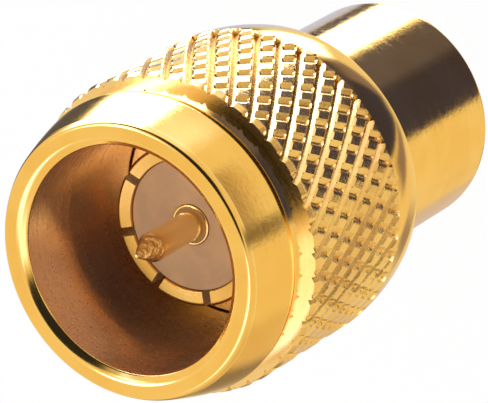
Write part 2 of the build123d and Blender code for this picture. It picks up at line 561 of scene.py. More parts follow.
@dataclass(frozen=True)
class Finish:
    """A finish of a turned surface, with a tool's lines and a grain. Their depths are in microns."""

    name: str
    roughness: float = 0.18
    roughness_spread: float = 0.08
    tint: Colour = (1.0, 0.74, 0.32)
    deep_tint: Colour = (0.96, 0.66, 0.24)
    metallic: float = 1.0
    lines_per_mm: float = 10.0
    line_depth: float = 0.4
    grains_per_mm: float = 14.0
    grain_depth: float = 0.4
    patches_per_mm: float = 0.5

    def surface(self, graph: Graph, effects: Effects, lines: bpy.types.Node,
                grain: bpy.types.Node) -> tuple[Value, Value]:
        """Works out how the surface looks. Each kind of finish does it in its own way.

        Args:
            graph: The graph of the material.
            effects: The shared effect groups.
            lines: The group of the turning lines.
            grain: The group of the plating grain.

        Returns:
            Its colour and its roughness.
        """
        raise NotImplementedError

    def build(self, effects: Effects) -> bpy.types.Material:
        """Builds the material.

        Args:
            effects: The shared effect groups.

        Returns:
            The material.
        """
        material = bpy.data.materials.new(self.name)
        material.use_nodes = True
        graph = Graph(material.node_tree)
        lines = graph.group(effects.lines, Lines_per_mm=self.lines_per_mm, Depth_um=self.line_depth)
        grain = graph.group(effects.grain, Grains_per_mm=self.grains_per_mm, Depth_um=self.grain_depth,
                            Patches_per_mm=self.patches_per_mm)
        colour, roughness = self.surface(graph, effects, lines, grain)
        height = graph.plus(lines.outputs["Height"], grain.outputs["Height"])
        bump = graph.add("ShaderNodeBump", {"Distance": 1.0, "Height": height})
        shader = graph.add("ShaderNodeBsdfPrincipled", {
            "Metallic": self.metallic, "Base Color": colour, "Roughness": roughness,
            "Normal": bump.outputs["Normal"]})
        graph.add("ShaderNodeOutputMaterial", {"Surface": shader.outputs["BSDF"]})
        return material


@dataclass(frozen=True)
class GoldFinish(Finish):
    """Gold plating, smoother on listed edges with a highlight painted into their colour, and with shade
    painted into the depths of its cuts.

    An edge is a radius, a height and a width. A cut with painted shade is the radius of its floor
    and the radius from which it is clear.
    """

    edges: tuple[Edge, ...] = ()
    soiled: tuple[float, ...] = ()
    # Darker tint of the painted shade in the depths of the cuts.
    soil_tint: Colour = (0.60, 0.38, 0.16)
    # Paler tint of the painted highlight on the listed edges.
    worn_tint: Colour = (1.0, 0.82, 0.46)
    worn_share: float = 0.7
    worn_polish: float = 0.5
    line_share: float = 0.35
    least_roughness: float = 0.04

    def surface(self, graph: Graph, effects: Effects, lines: bpy.types.Node,
                grain: bpy.types.Node) -> tuple[Value, Value]:
        """Works out how the plating looks.

        Args:
            graph: The graph of the material.
            effects: The shared effect groups.
            lines: The group of the turning lines.
            grain: The group of the plating grain.

        Returns:
            Its colour and its roughness.
        """
        polish_and_highlight: Value = 0.0
        for radius, height, width in self.edges:
            edge = graph.group(effects.edge, Radius=radius, Height=height, Width=width)
            polish_and_highlight = graph.calc("MAXIMUM", polish_and_highlight, edge.outputs["Mask"])
        colour = graph.mix(grain.outputs["Patches"], self.tint, self.deep_tint)
        colour = graph.mix(graph.times(lines.outputs["Tone"], self.line_share), colour, self.deep_tint)
        # Painted highlight: the listed edges take a paler tint.
        colour = graph.mix(graph.times(polish_and_highlight, self.worn_share), colour, self.worn_tint)
        # Painted shade: the depths of the cuts take a darker tint.
        if self.soiled:
            floor, clear = self.soiled
            soil = graph.group(effects.soil, Floor_radius=floor, Clear_radius=clear)
            colour = graph.mix(soil.outputs["Mask"], colour, self.soil_tint)
        uneven = graph.minus(graph.plus(grain.outputs["Fine"], lines.outputs["Tone"]), 1.0)
        rough = graph.calc("MULTIPLY_ADD", uneven, self.roughness_spread * 2, self.roughness)
        rough = graph.times(rough, graph.calc("MULTIPLY_ADD", polish_and_highlight, -self.worn_polish, 1.0))
        return colour, graph.calc("MAXIMUM", rough, self.least_roughness)


@dataclass(frozen=True)
class MattFinish(Finish):
    """A matt or satin material with no metal in it, or a plain hidden metal."""

    roughness: float = 0.5
    roughness_spread: float = 0.06
    metallic: float = 0.0
    lines_per_mm: float = 8.0
    line_depth: float = 1.0
    grains_per_mm: float = 20.0
    grain_depth: float = 1.0
    patches_per_mm: float = 1.2

    def surface(self, graph: Graph, effects: Effects, lines: bpy.types.Node,
                grain: bpy.types.Node) -> tuple[Value, Value]:
        """Works out how the material looks.

        Args:
            graph: The graph of the material.
            effects: The shared effect groups, not used here.
            lines: The group of the turning lines.
            grain: The group of the plating grain.

        Returns:
            Its colour and its roughness.
        """
        share = graph.times(graph.plus(grain.outputs["Patches"], lines.outputs["Tone"]), 0.5)
        smoothest = self.roughness - self.roughness_spread
        rough = graph.calc("MULTIPLY_ADD", grain.outputs["Fine"], self.roughness_spread * 2, smoothest)
        return graph.mix(share, self.tint, self.deep_tint), rough


# ---- Coupling sleeve


class SleeveZone(Enum):
    """The differently finished zones of the sleeve, in the order of its material slots."""

    FACE = 0
    COLLAR = 1
    NECK = 2
    BORE = 3
    SHOULDER = 4
    WALL = 5


@dataclass(frozen=True)
class Groove:
    """One hand of the knurl's grooves: its pitch along the axis, its depth and its two flanks.

    The flanks are shares of the pitch, before and after the groove's floor as the turn grows.
    The floor turn is where the floor crosses the knurl's middle, in degrees.
    """

    pitch: float
    depth: float
    before: float
    after: float
    floor_turn: float


@dataclass(frozen=True)
class Knurl:
    """The diamond knurl: where it lies, and its two hands of grooves.

    Its crests drop a little over its front run, which softens its front edge.
    """

    starts: int = 41
    back: float = 8.20
    front: float = 13.10
    crest_radius: float = 5.03
    deep: Groove = Groove(1.304, 0.20, 0.30, 0.10, -78.4)
    shallow: Groove = Groove(1.39, 0.12, 0.26, 0.26, -81.9)
    middle: float = 10.65
    front_drop: float = 0.07
    front_run: float = 0.22
    columns_per_pitch: int = 12
    unevenness: float = 0.012
    seed: int = 7

    def columns(self) -> int:
        """Number of mesh columns round the knurl."""
        return self.starts * self.columns_per_pitch

    def lead(self) -> int:
        """Whole number of columns by which the deep grooves turn over the knurl's length."""
        return round((self.front - self.back) / self.deep.pitch * self.columns_per_pitch)

    def turn(self, height: float) -> float:
        """Turn of the first mesh column, which follows the floor of a deep groove.

        Args:
            height: Height in millimetres.

        Returns:
            The turn in radians.
        """
        share = (height - self.middle) / (self.front - self.back)
        return math.radians(self.deep.floor_turn) - share * math.tau * self.lead() / self.columns()

    def rows(self) -> list[float]:
        """Lists the heights of the mesh rows, spaced so that shallow grooves run along diagonals.

        Returns:
            Heights in millimetres, from the back to the front.
        """
        step = 1 / (self.columns_per_pitch * (1 / self.deep.pitch + 1 / self.shallow.pitch))
        count = round((self.front - self.back) / step)
        return [self.back + (self.front - self.back) * row / count for row in range(count + 1)]

    def sizes(self) -> dict[str, float]:
        """Gives the sizes of both hands of grooves by the names of the tree's inputs."""
        hands = (("Deep", self.deep), ("Shallow", self.shallow))
        return {f"{hand}_{name}": value for hand, groove in hands for name, value in asdict(groove).items()}

    def cut(self, graph: Graph, given: dict, hand: str, angle: Value, height: Value) -> bpy.types.NodeSocket:
        """Measures how far into one hand's groove a point lies.

        Args:
            graph: The graph of the tree.
            given: The tree's inputs by name.
            hand: Deep or Shallow. The shallow grooves turn the other way.
            angle: The point's turn in radians.
            height: Its height in millimetres.

        Returns:
            1 at the groove's floor and 0 on the land between two grooves.
        """
        from_floor = graph.minus(angle, graph.calc("RADIANS", given[f"{hand} floor turn"]))
        around = graph.over(graph.times(from_floor, given["Starts"]), math.tau)
        along = graph.over(graph.minus(height, given["Middle"]), given[f"{hand} pitch"])
        pitches = graph.calc("ADD" if hand == "Deep" else "SUBTRACT", around, along)
        share = graph.minus(graph.calc("FRACT", graph.plus(pitches, 0.5)), 0.5)
        before = graph.plus(1.0, graph.over(share, given[f"{hand} before"]))
        after = graph.minus(1.0, graph.over(share, given[f"{hand} after"]))
        return graph.calc("MAXIMUM", graph.calc("MINIMUM", before, after), 0.0)

    def tree(self) -> bpy.types.NodeTree:
        """Builds the geometry nodes that sink both hands of grooves into the blank.

        Returns:
            The node tree.
        """
        graph, given, sink = group_tree(
            "Diamond knurl", "GeometryNodeTree",
            [Port("Blank", "NodeSocketGeometry"), Port("Starts", "NodeSocketInt", 41),
             Port("Back", value=8.0), Port("Front", value=13.0), Port("Middle", value=10.0),
             Port("Crest radius", value=5.0), Port("Front drop", value=0.0), Port("Front run", value=0.2),
             *(Port(name.replace("_", " "), value=0.1) for name in self.sizes()),
             Port("Unevenness", value=0.0), Port("Seed", "NodeSocketInt", 1),
             Port("Finish", "NodeSocketMaterial")],
            [Port("Knurled", "NodeSocketGeometry")])
        place = graph.vector("SCALE", graph.add("GeometryNodeInputPosition").outputs[0], MM_PER_METRE)
        east, north, height = graph.parts(place)
        flat = graph.vector("MULTIPLY", place, (1.0, 1.0, 0.0))
        radius = graph.vector("LENGTH", flat)
        angle = graph.calc("ARCTAN2", north, east)
        deep, shallow = (self.cut(graph, given, hand, angle, height) for hand in ("Deep", "Shallow"))
        # A shallow groove ends at the flank of a deep one, so the deep flanks run on unbroken.
        shallow = graph.times(shallow, graph.ramp(deep, 0.15, 0.0, smooth=False))
        sunk = graph.calc("MAXIMUM", graph.times(deep, given["Deep depth"]),
                          graph.times(shallow, given["Shallow depth"]))
        scatter = graph.add("ShaderNodeTexNoise", {
            "Vector": place, "W": given["Seed"], "Scale": 3.0, "Detail": 2.0}, noise_dimensions="4D")
        uneven = graph.times(graph.minus(scatter.outputs[0], 0.5), given["Unevenness"])
        wanted = graph.plus(graph.minus(given["Crest radius"], sunk), uneven)
        clear = graph.calc("DIVIDE", graph.minus(given["Front"], height), given["Front run"], clamp=True)
        drop = graph.times(graph.minus(1.0, clear), given["Front drop"])
        wanted = graph.calc("MINIMUM", wanted, graph.minus(radius, drop))
        # Only the crest's rows move, from just above the back up to the front's own row.
        hair, skin, wall = 0.001, 0.1, 0.3
        above = graph.calc("GREATER_THAN", height, graph.plus(given["Back"], hair))
        below = graph.calc("LESS_THAN", height, graph.plus(given["Front"], hair))
        outside = graph.calc("GREATER_THAN", radius, graph.minus(given["Crest radius"], skin))
        push = graph.vector("SCALE", graph.vector("NORMALIZE", flat),
                            graph.times(graph.minus(wanted, radius), MM))
        move = graph.add("GeometryNodeSetPosition", {
            "Geometry": given["Blank"], "Selection": graph.times(graph.times(above, below), outside),
            "Offset": push})
        real = graph.add("GeometryNodeRealizeInstances", {0: move.outputs[0]})
        grip = graph.times(graph.calc("GREATER_THAN", height, given["Back"]),
                           graph.calc("LESS_THAN", height, given["Front"]))
        proud = graph.calc("GREATER_THAN", radius, graph.minus(given["Crest radius"], wall))
        dress = graph.add("GeometryNodeSetMaterial", {
            "Geometry": real.outputs[0], "Selection": graph.times(grip, proud), "Material": given["Finish"]})
        graph.feed(sink.inputs[0], dress.outputs[0])
        return graph.tree


def applied(thing: bpy.types.Object, tree: bpy.types.NodeTree, **values: object) -> bpy.types.Mesh:
    """Runs a geometry node tree on an object and takes the result as a plain mesh.

    Args:
        thing: The object.
        tree: The node tree.
        **values: Values of its inputs, with underscores for spaces.

    Returns:
        The new mesh. The modifier is gone from the object.
    """
    modifier = thing.modifiers.new("Nodes", "NODES")
    modifier.node_group = tree
    names = {item.name: item.identifier for item in tree.interface.items_tree if item.in_out == "INPUT"}
    for name, value in values.items():
        modifier[names[name.replace("_", " ")]] = value
    graph = bpy.context.evaluated_depsgraph_get()
    done = thing.evaluated_get(graph)
    mesh = bpy.data.meshes.new_from_object(done, preserve_all_data_layers=True, depsgraph=graph)
    thing.modifiers.remove(modifier)
    return mesh


@dataclass
class CouplingSleeve:
    """The sleeve that slides over a jack: collar, neck, knurled grip and domed shoulder.

    The end ring lies on the knurl's front wall, below the floors of the grooves.
    """

    effects: Effects
    back: float = 6.50
    mouth: float = 15.65
    bore_radius: float = 3.55
    chamfer_width: float = 0.25
    chamfer_depth: float = 0.19
    face_radius: float = 4.25
    bevel_radius: float = 4.36
    bevel_height: float = 15.44
    collar_radius: float = 4.73
    collar_back: float = 13.95
    collar_lip: float = 0.04
    collar_crown: float = 0.02
    relief_depth: float = 0.07
    relief_length: float = 0.168
    neck_radius: float = 4.69
    shoulder_radius: float = 4.69
    shoulder_bulge: float = 0.06
    groove_radius: float = 3.93
    groove: tuple[float, float] = (7.62, 8.38)
    end_ring: float = 4.80
    knurl: Knurl = field(default_factory=Knurl)

    def outline(self) -> Outline:
        """Builds the blank's outline, with the rows that carry the knurl left out.

        Returns:
            The outline, from the knurl's back down the shoulder, up the bore and down the collar.
        """
        knurl, bore = self.knurl, self.bore_radius
        low, high = self.groove
        crest, hem = (knurl.crest_radius, knurl.back), (self.shoulder_radius, self.back)
        bevel = (self.bevel_radius, self.bevel_height)
        lip = (self.collar_radius, self.collar_back + self.collar_lip)
        relief = self.neck_radius - self.relief_depth
        relief_back = self.collar_back - self.relief_length
        return Outline.through(
            *domed(crest, hem, self.shoulder_bulge, 9), (*hem, 0.13),
            (bore, self.back, 0.05), (bore, low), (self.groove_radius, low), (self.groove_radius, high),
            (bore, high), (bore, self.mouth - self.chamfer_depth, 0.10),
            (bore + self.chamfer_width, self.mouth, 0.28), (self.face_radius, self.mouth, 0.16),
            (*bevel, 0.10), *domed(bevel, lip, self.collar_crown, 8), (*lip, 0.05),
            (relief, self.collar_back), (relief, relief_back), (self.neck_radius, relief_back, 0.01),
            (self.neck_radius, knurl.front), (self.end_ring, knurl.front))

    def blank(self) -> bpy.types.Mesh:
        """Turns the blank, with fine triangles that follow the grooves where the knurl goes.

        Returns:
            The closed blank.
        """
        knurl, columns = self.knurl, self.knurl.columns()
        plain = self.outline().points()
        grip = [(knurl.crest_radius, height) for height in reversed(knurl.rows())]
        loop = [*plain, *grip]
        turns = [*([knurl.turn(knurl.back)] * len(plain)), *(knurl.turn(height) for _, height in grip)]
        points = [spun(radius, turn + math.tau * j / columns, height)
                  for (radius, height), turn in zip(loop, turns) for j in range(columns)]
        faces = []
        for row in range(len(loop)):
            above = (row + 1) % len(loop)
            shift = knurl.lead() if row == len(plain) - 1 else 0
            for j in range(columns):
                k = (j + 1) % columns
                low = (row * columns + j, row * columns + k)
                high = (above * columns + (k + shift) % columns, above * columns + (j + shift) % columns)
                if row < len(plain) or above == 0:
                    faces.append([*low, *high])
                else:
                    faces += [[low[0], low[1], high[1]], [low[1], high[0], high[1]]]
        return mesh_from("coupling_sleeve_gold", points, faces)

    def zone(self, face: bpy.types.MeshPolygon) -> SleeveZone:
        """Tells which zone a face of the blank lies in.

        Args:
            face: The face.

        Returns:
            The zone.
        """
        hair, margin, inside = 0.001, 0.02, 0.5
        radius, height = math.hypot(face.center.x, face.center.y) / MM, face.center.z / MM
        if radius < self.bore_radius + inside and height < self.mouth - self.chamfer_depth - margin:
            return SleeveZone.BORE
        if height > self.bevel_height + margin:
            return SleeveZone.FACE
        if height > self.collar_back:
            return SleeveZone.COLLAR
        if height > self.knurl.front + hair:
            return SleeveZone.NECK
        if height > self.knurl.back:
            return SleeveZone.WALL
        return SleeveZone.SHOULDER

    def finishes(self) -> dict[SleeveZone, GoldFinish]:
        """Gives the finish of each zone, in the order of the material slots.

        Returns:
            The finishes by zone.
        """
        inner = (self.bore_radius, self.mouth - self.chamfer_depth, 0.05)
        chamfer = (self.bore_radius + self.chamfer_width, self.mouth, 0.05)
        face = (self.face_radius, self.mouth, 0.05)
        bevel = (self.bevel_radius, self.bevel_height, 0.06)
        lip = (self.collar_radius, self.collar_back + self.collar_lip, 0.05)
        hem = (self.shoulder_radius, self.back, 0.12)
        # The listed edges get a highlight painted into their colour, as well as a smoother finish.
        return {
            SleeveZone.FACE: GoldFinish("sleeve_face_gold", 0.15, 0.06, lines_per_mm=14, line_depth=0.4,
                                        grain_depth=0.3, edges=(inner, chamfer, face, bevel)),
            SleeveZone.COLLAR: GoldFinish("sleeve_collar_gold", 0.14, 0.08, line_depth=0.3, grains_per_mm=8,
                                          grain_depth=2.6, edges=(bevel, lip)),
            SleeveZone.NECK: GoldFinish("sleeve_neck_gold", 0.13, 0.06),
            SleeveZone.BORE: GoldFinish("sleeve_bore_gold", 0.25, 0.08, (0.97, 0.70, 0.54),
                                        (0.94, 0.66, 0.48), metallic=0.94, lines_per_mm=6, line_depth=0.3),
            SleeveZone.SHOULDER: GoldFinish("sleeve_shoulder_gold", 0.11, 0.06, edges=(hem,)),
            SleeveZone.WALL: GoldFinish("sleeve_wall_gold", 0.20, 0.08, (1.0, 0.84, 0.60), (0.94, 0.75, 0.50),
                                        grain_depth=1.0),
        }

    def grip_finish(self) -> GoldFinish:
        """Gives the finish of the knurl, with shade painted into the depths of its grooves."""
        # The groove floors take a darker tint: painted shade.
        return GoldFinish("sleeve_knurl_gold", 0.23, 0.12, (1.0, 0.77, 0.38), (0.88, 0.62, 0.30),
                          line_depth=0.2, grains_per_mm=10, grain_depth=6.0, soiled=(4.80, 4.96))

    def build(self) -> bpy.types.Object:
        """Builds the sleeve and dresses it.

        Returns:
            The finished piece.
        """
        mesh = self.blank()
        for finish in self.finishes().values():
            mesh.materials.append(finish.build(self.effects))
        for face in mesh.polygons:
            face.material_index = self.zone(face).value
        blank = placed(mesh)
        knurl = self.knurl
        cut = applied(
            blank, knurl.tree(), Starts=knurl.starts, Back=knurl.back, Front=knurl.front, Middle=knurl.middle,
            Crest_radius=knurl.crest_radius, Front_drop=knurl.front_drop, Front_run=knurl.front_run,
            Unevenness=knurl.unevenness, Seed=knurl.seed, **knurl.sizes(),
            Finish=self.grip_finish().build(self.effects))
        bpy.data.objects.remove(blank)
        bpy.data.meshes.remove(mesh)
        cut.name = "coupling_sleeve_gold"
        cut.shade_smooth()
        cut.set_sharp_from_angle(angle=SHARP_ANGLE)
        return installed(placed(cut), Body.SLEEVE, "coupling_sleeve")


def installed(piece: bpy.types.Object, body: Body, node: str) -> bpy.types.Object:
    """Makes a finished piece ride on its body in the place of a node.

    Args:
        piece: The finished piece.
        body: The body that carries it.
        node: The node that it stands for.

    Returns:
        The same piece.
    """
    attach(piece, body.value)
    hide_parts(node)
    log.info("%s stands for %s on %s, %d faces", piece.name, node, body.value, len(piece.data.polygons))
    return piece


# ---- The body's pieces


@dataclass(frozen=True)
class Band:
    """A stretch of a turned piece, between two heights, with a finish of its own."""

    finish: Finish
    low: float
    high: float


@dataclass
class TurnedPiece:
    """A turned piece of the body. Each kind gives its names, its outline and its finishes."""

    name: ClassVar[str]
    node: ClassVar[str]
    slot: ClassVar[Slot]
    columns: ClassVar[int] = 128
    effects: Effects

    def outline(self) -> Outline:
        """Gives the outline to turn."""
        raise NotImplementedError

    def finish(self) -> Finish:
        """Gives the finish of the piece as a whole."""
        raise NotImplementedError

    def bands(self) -> tuple[Band, ...]:
        """Lists the stretches with another finish."""
        return ()

    def build(self) -> bpy.types.Object:
        """Turns the piece and dresses it.

        Returns:
            The finished piece.
        """
        mesh = turned_mesh(self.name, self.outline(), self.columns)
        mesh.materials.append(self.finish().build(self.effects))
        for index, band in enumerate(self.bands(), 1):
            mesh.materials.append(band.finish.build(self.effects))
            for face in mesh.polygons:
                if band.low * MM < face.center.z < band.high * MM:
                    face.material_index = index
        return installed(placed(mesh), Body.TERMINATOR, self.node)


@dataclass
class FrontHub(TurnedPiece):
    """The hub: a spigot, a ring groove, a flange whose front is the mouth's floor, and a seat."""

    name = "front_body_gold"
    node = "front_body"
    slot = Slot.BODY
    spigot: float = 5.40
    rim: float = 6.40
    groove: tuple[float, float] = (7.70, 8.30)
    flange: float = 9.55
    floor: float = 9.88
    seat: float = 7.93
    ledge: float = 7.13
    spigot_radius: float = 3.17
    bearing_radius: float = 3.47
    groove_radius: float = 3.07
    flange_radius: float = 3.52
    seat_radius: float = 2.73
    ledge_radius: float = 2.355
    bore_radius: float = 2.085

    def outline(self) -> Outline:
        """Gives the outline, from the spigot up the outside and down through the seat.

        Returns:
            The outline.
        """
        low, high = self.groove
        bearing, slope = self.bearing_radius, self.flange_radius - self.bearing_radius
        return Outline.through(
            (self.bore_radius, self.spigot), (self.spigot_radius, self.spigot),
            (self.spigot_radius, self.rim), (bearing, self.rim), (bearing, low),
            (self.groove_radius, low), (self.groove_radius, high),
            (bearing, high), (bearing, self.flange - slope), (self.flange_radius, self.flange),
            (self.flange_radius, self.floor, 0.04), (self.seat_radius, self.floor, 0.03),
            (self.seat_radius, self.seat), (self.ledge_radius, self.seat), (self.ledge_radius, self.ledge),
            (self.bore_radius, self.ledge))

    def finish(self) -> GoldFinish:
        """Gives its plating, with fine rings on the floor of the mouth."""
        return GoldFinish("hub_gold", 0.24, lines_per_mm=12, line_depth=0.6)


@dataclass
class InsulatingBead(TurnedPiece):
    """The white bead that holds the pin, set back a little in the contact."""

    name = "dielectric_bead_white"
    node = "dielectric_bead"
    slot = Slot.BEAD
    back: float = 7.13
    flange: float = 7.93
    face: float = 12.00
    bore_radius: float = 0.645
    flange_radius: float = 2.345
    radius: float = 2.075

    def outline(self) -> Outline:
        """Gives the outline, from the back up the outside.

        Returns:
            The outline.
        """
        return Outline.through(
            (self.bore_radius, self.back), (self.flange_radius, self.back), (self.flange_radius, self.flange),
            (self.radius, self.flange), (self.radius, self.face, 0.04), (self.bore_radius, self.face, 0.02))

    def finish(self) -> MattFinish:
        """Gives its finish: the white bead's colour, with the warm light and shade of the gold walls round it
        painted in.
        """
        # Painted light and shade: a warm brown stands in for the bead's white.
        return MattFinish("bead_fluoropolymer", 0.55, tint=(0.72, 0.44, 0.22), deep_tint=(0.54, 0.34, 0.19),
                          lines_per_mm=9, line_depth=2.0)


@dataclass
class ContactPin(TurnedPiece):
    """The centre pin: a shoulder in the bead, with a thin rim round a disc, and a rough cone."""

    name = "centre_pin_gold"
    node = "centre_pin"
    slot = Slot.PIN
    columns = 96
    skirt: float = 6.33
    socket: float = 6.98
    disc: float = 12.03
    shoulder: float = 12.05
    cone: float = 14.21
    point: float = 15.05
    socket_radius: float = 0.49
    shoulder_radius: float = 0.635
    rim_radius: float = 0.575
    disc_radius: float = 0.56
    shank_radius: float = 0.457
    point_radius: float = 0.05

    def outline(self) -> Outline:
        """Gives the outline, from the rear socket up to the point.

        Returns:
            The outline.
        """
        return Outline.through(
            (0.0, self.socket), (self.socket_radius, self.socket), (self.socket_radius, self.skirt),
            (self.shoulder_radius, self.skirt), (self.shoulder_radius, self.shoulder, 0.05),
            (self.rim_radius, self.shoulder, 0.02), (self.disc_radius, self.disc),
            (self.shank_radius, self.disc), (self.shank_radius, self.cone, 0.05),
            (self.point_radius, self.point, 0.03), (0.0, self.point))

    def finish(self) -> GoldFinish:
        """Gives the plating of the shank, smoother round the shoulder's rim, with a highlight painted there.
        """
        return GoldFinish("pin_gold", 0.24, 0.06, (1.0, 0.80, 0.42), (0.96, 0.72, 0.34), line_depth=0.3,
                          grain_depth=0.3, edges=((0.60, self.shoulder, 0.06),))

    def bands(self) -> tuple[Band, ...]:
        """Lists the rough tip and the disc round the shank, whose dark brown is painted shade.

        Returns:
            The two bands.
        """
        tip = GoldFinish("pin_tip_gold", 0.22, 0.16, (1.0, 0.92, 0.62), (1.0, 0.82, 0.46), lines_per_mm=5,
                         line_depth=32.0, grains_per_mm=7, grain_depth=40.0)
        # Painted shade: the recessed disc at the shank's foot is dark brown rather than gold.
        disc_shade = MattFinish("pin_shoulder_gold", tint=(0.50, 0.28, 0.10), deep_tint=(0.40, 0.22, 0.08),
                          line_depth=0.6)
        margin, hair = 0.03, 0.005
        return (Band(tip, self.cone - margin, self.point + margin),
                Band(disc_shade, self.disc - hair, self.disc + hair))


@dataclass
class RearCup(TurnedPiece):
    """The smooth rear housing, a cup that is open to the front."""

    name = "rear_housing_gold"
    node = "rear_housing"
    slot = Slot.HOUSING
    columns = 160
    floor: float = 1.20
    rim: float = 6.40
    radius: float = 3.63
    bore_radius: float = 3.18

    def outline(self) -> Outline:
        """Gives the outline, from the rear face round the wall to the floor inside.

        Returns:
            The outline.
        """
        return Outline.through(
            (0.0, 0.0), (self.radius, 0.0, 0.20), (self.radius, self.rim, 0.03), (self.bore_radius, self.rim),
            (self.bore_radius, self.floor), (0.0, self.floor))

    def finish(self) -> GoldFinish:
        """Gives its bright plating, smoother round the rear edge, with a highlight painted there."""
        return GoldFinish("housing_gold", 0.13, 0.10, lines_per_mm=5, line_depth=0.25, grains_per_mm=9,
                          grain_depth=2.4, edges=((self.radius, 0.0, 0.16),))


@dataclass
class OuterContact:
    """The spring collet: a solid seat, and fingers parted by slots of one width."""

    effects: Effects
    inner_radius: float = 2.085
    wall_radius: float = 2.55
    seat_radius: float = 2.72
    seat: float = 7.93
    floor: float = 9.88
    face: float = 12.15
    face_chamfer: float = 0.10
    face_dish: float = 0.06
    slots: int = 8
    slot_width: float = 0.28
    slot_length: float = 2.05
    slot_phase: float = 24.8
    base_columns: int = 144
    finger_columns: int = 14

    def base(self) -> bpy.types.Mesh:
        """Turns the seat and the solid foot of the wall.

        Returns:
            A closed mesh.
        """
        foot = self.face - self.slot_length
        outline = Outline.through(
            (self.inner_radius, self.seat), (self.seat_radius, self.seat), (self.seat_radius, self.floor),
            (self.wall_radius, self.floor), (self.wall_radius, foot), (self.inner_radius, foot))
        return turned_mesh("contact_base", outline, self.base_columns)

    def finger(self, plated: bpy.types.Material, cut: bpy.types.Material) -> bpy.types.Mesh:
        """Builds one finger between two slots, centred on the X axis.

        Args:
            plated: Finish of its turned faces.
            cut: Finish of the two faces that the slots leave.

        Returns:
            A closed mesh.
        """
        foot, dish = self.face - self.slot_length, self.face - self.face_dish
        section = Outline.through(
            (self.inner_radius, foot), (self.wall_radius, foot),
            (self.wall_radius, self.face - self.face_chamfer, 0.04),
            (self.wall_radius - self.face_chamfer, self.face, 0.04),
            (self.inner_radius + 0.02, dish, 0.01), (self.inner_radius, dish - 0.03, 0.01)).points()
        points, faces = [], []
        for radius, height in section:
            half = math.pi / self.slots - math.asin(self.slot_width / 2 / radius)
            points += [spun(radius, half * (2 * j / self.finger_columns - 1), height)
                       for j in range(self.finger_columns + 1)]
        across = self.finger_columns + 1
        for row in range(len(section)):
            above = (row + 1) % len(section)
            faces += [[row * across + j, row * across + j + 1, above * across + j + 1, above * across + j]
                      for j in range(self.finger_columns)]
        for column in (0, self.finger_columns):
            faces.append([row * across + column for row in range(len(section))])
        mesh = mesh_from("contact_finger", points, faces)
        for finish in (plated, cut):
            mesh.materials.append(finish)
        for face in mesh.polygons[-2:]:
            face.material_index = 1
        return mesh

    def tree(self) -> bpy.types.NodeTree:
        """Builds the geometry nodes that set one finger beside each slot, on the base.

        Returns:
            The node tree.
        """
        graph, given, sink = group_tree(
            "Spring fingers", "GeometryNodeTree",
            [Port("Base", "NodeSocketGeometry"), Port("Finger", "NodeSocketObject"),
             Port("Slots", "NodeSocketInt", 8), Port("Phase", value=0.0),
             Port("Finish", "NodeSocketMaterial"), Port("Slot finish", "NodeSocketMaterial")],
            [Port("Collet", "NodeSocketGeometry")])
        spots = graph.add("GeometryNodeMeshLine", {"Count": given["Slots"], "Offset": (0.0, 0.0, 0.0)})
        number = graph.add("GeometryNodeInputIndex").outputs[0]
        share = graph.over(graph.plus(number, 0.5), given["Slots"])
        turn = graph.plus(graph.times(share, math.tau), graph.calc("RADIANS", given["Phase"]))
        shape = graph.add("GeometryNodeObjectInfo", {"Object": given["Finger"]})
        around = graph.add("GeometryNodeInstanceOnPoints", {
            "Points": spots.outputs[0], "Instance": shape.outputs["Geometry"],
            "Rotation": graph.joined(0.0, 0.0, turn)})
        both = graph.add("GeometryNodeJoinGeometry", {0: around.outputs[0]})
        graph.feed(both.inputs[0], given["Base"])
        real = graph.add("GeometryNodeRealizeInstances", {0: both.outputs[0]})
        in_slot = graph.add("GeometryNodeMaterialSelection", {"Material": given["Slot finish"]})
        dress = graph.add("GeometryNodeSetMaterial", {
            "Geometry": real.outputs[0], "Selection": graph.minus(1.0, in_slot.outputs[0]),
            "Material": given["Finish"]})
        graph.feed(sink.inputs[0], dress.outputs[0])
        return graph.tree

    def build(self) -> bpy.types.Object:
        """Builds the collet and dresses it.

        Returns:
            The finished piece.
        """
        # The face's outer edge gets a highlight painted into its colour, as well as a smoother finish.
        plated = GoldFinish("contact_gold", 0.19, 0.08, (0.92, 0.64, 0.27), (0.84, 0.54, 0.20),
                            lines_per_mm=12, line_depth=0.5, grain_depth=1.5,
                            edges=((self.wall_radius, self.face, 0.12),))
        cut = GoldFinish("contact_slot_gold", 0.60, 0.08, (1.0, 0.90, 0.78), (0.90, 0.78, 0.66),
                         line_depth=1.0)
        plating, cutting = plated.build(self.effects), cut.build(self.effects)
        base, finger = placed(self.base()), placed(self.finger(plating, cutting))
        mesh = applied(base, self.tree(), Finger=finger, Slots=self.slots, Phase=self.slot_phase,
                       Finish=plating, Slot_finish=cutting)
        for helper in (base, finger):
            bpy.data.objects.remove(helper)
        mesh.name = "outer_contact_gold"
        mesh.set_sharp_from_angle(angle=SHARP_ANGLE)
        return installed(placed(mesh), Body.TERMINATOR, "outer_contact")


